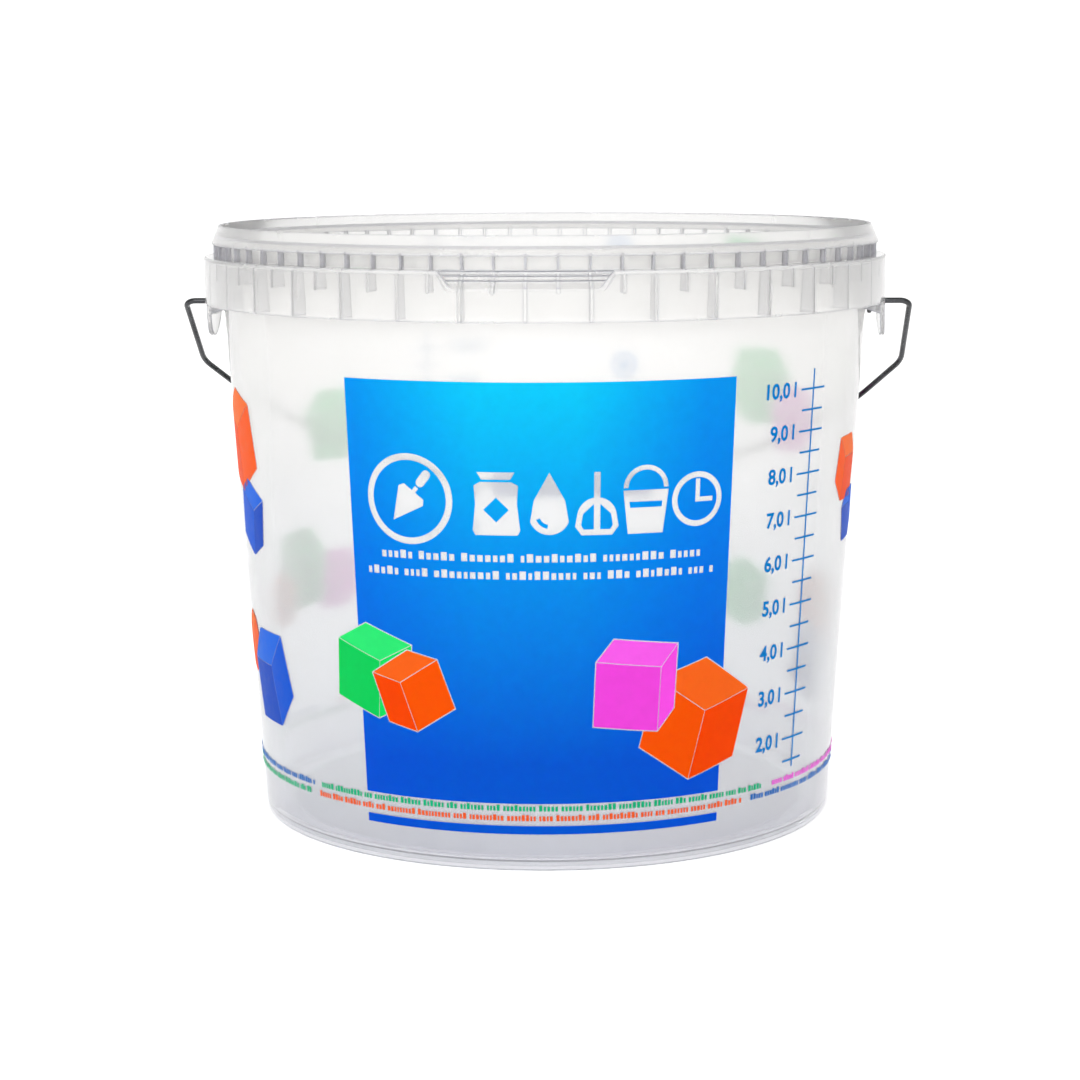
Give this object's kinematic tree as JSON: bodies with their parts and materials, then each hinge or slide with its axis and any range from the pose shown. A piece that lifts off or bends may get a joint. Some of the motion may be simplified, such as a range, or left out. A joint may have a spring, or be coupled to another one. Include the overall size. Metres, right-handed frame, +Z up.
{
  "type": "graduated mixing bucket with wire bail",
  "caption": "Round translucent mixing bucket with a ribbed collar, a snap rim, a litre scale, and a wire bail with a turning grip.",
  "frame": {"origin": "centre of the foot, on the ground", "axes": "+Z up along the tub's axis, -Y towards the finger notch, +X towards the right ear"},
  "size_m": [0.3204, 0.2956, 0.256],
  "materials": {
    "natural_plastic": "milky translucent moulded polypropylene, satin, with coloured print on the wall",
    "steel_wire": "drawn steel wire, dull grey",
    "grip_plastic": "satin moulded plastic"
  },
  "bodies": {
    "tub": {"foot_ring": "natural_plastic", "floor_plate": "natural_plastic", "tub_wall": "natural_plastic", "collar": "natural_plastic", "rim": "natural_plastic", "ear_left": "natural_plastic", "ear_right": "natural_plastic"},
    "bail": {"bail_wire": "steel_wire"},
    "grip_tube": {"grip": "grip_plastic"}
  },
  "joints": [
    {"name": "bail_swing", "type": "hinge", "parent": "tub", "child": "bail", "pos_m": [0, 0, 0.222], "axis": [1, 0, 0], "range_deg": [0, 251]},
    {"name": "grip_spin", "type": "hinge", "parent": "bail", "child": "grip_tube", "pos_m": [0, 0.14027, 0.12194], "axis": [1, 0, 0], "continuous": true}
  ]
}
